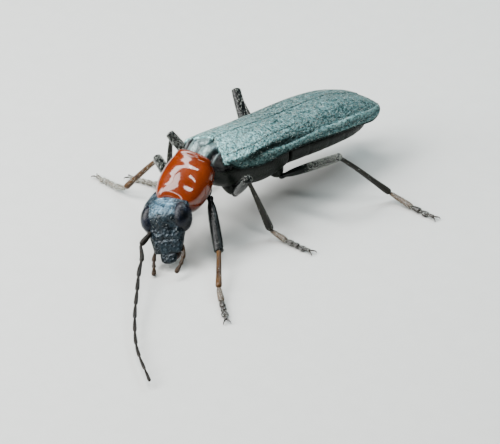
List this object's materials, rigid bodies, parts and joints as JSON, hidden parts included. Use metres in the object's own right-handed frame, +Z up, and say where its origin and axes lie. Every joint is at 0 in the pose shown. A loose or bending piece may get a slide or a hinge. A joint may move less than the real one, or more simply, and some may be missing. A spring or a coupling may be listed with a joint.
{
  "type": "oedemera croceicollis beetle, life-size model",
  "caption": "Slender long-legged flower beetle standing with its head bent down: grey-green wing cases, orange-red pronotum, blue-black head.",
  "frame": {"origin": "middle of the box of the whole beetle with its feelers, at the level that the feet stand on", "axes": "+Z up, +Y toward the animal's rear, +X toward its left side"},
  "size_m": [0.012, 0.0158, 0.0034],
  "materials": {
    "wing_case": "horny shell, blue-grey-green with a dull metal sheen, finely granular, short silvery hairs",
    "trunk_shell": "horny shell, dark greenish black, satin, finely haired",
    "pronotum": "horny shell, polished orange-red",
    "head_shell": "horny shell, blue-black, satin, finely pitted",
    "eye": "faceted lens skin, blue-black, glossy",
    "feeler": "dark brown shell with very short hairs",
    "thigh": "dark grey-black shell, satin, short silvery hairs",
    "shin_front": "orange-brown shell, satin, short hairs",
    "shin": "dark olive-brown shell, satin, short hairs",
    "foot": "brown segments under dense silvery hairs"
  },
  "bodies": {
    "root": {"abdomen": "trunk_shell", "antenna_left_flagellum_base": "feeler", "antenna_left_flagellum_tip": "feeler", "antenna_left_scape": "feeler", "antenna_right_flagellum_base": "feeler", "antenna_right_flagellum_tip": "feeler", "antenna_right_scape": "feeler", "coxa_left_front": "trunk_shell", "coxa_left_hind": "trunk_shell", "coxa_left_middle": "trunk_shell", "coxa_right_front": "trunk_shell", "coxa_right_hind": "trunk_shell", "coxa_right_middle": "trunk_shell", "elytron_left": "wing_case", "elytron_right": "wing_case", "eye_left": "eye", "eye_right": "eye", "femur_left_front": "thigh", "femur_left_hind": "thigh", "femur_left_middle": "thigh", "femur_right_front": "thigh", "femur_right_hind": "thigh", "femur_right_middle": "thigh", "head": "head_shell", "labrum": "head_shell", "mandible_left": "head_shell", "mandible_right": "head_shell", "palp_left": "feeler", "palp_right": "feeler", "prothorax": "pronotum", "scutellum": "trunk_shell", "tarsus_left_front": "foot", "tarsus_left_hind": "foot", "tarsus_left_middle": "foot", "tarsus_right_front": "foot", "tarsus_right_hind": "foot", "tarsus_right_middle": "foot", "thorax": "trunk_shell", "tibia_left_front": "shin_front", "tibia_left_hind": "shin", "tibia_left_middle": "shin", "tibia_right_front": "shin_front", "tibia_right_hind": "shin", "tibia_right_middle": "shin"}
  },
  "joints": []
}
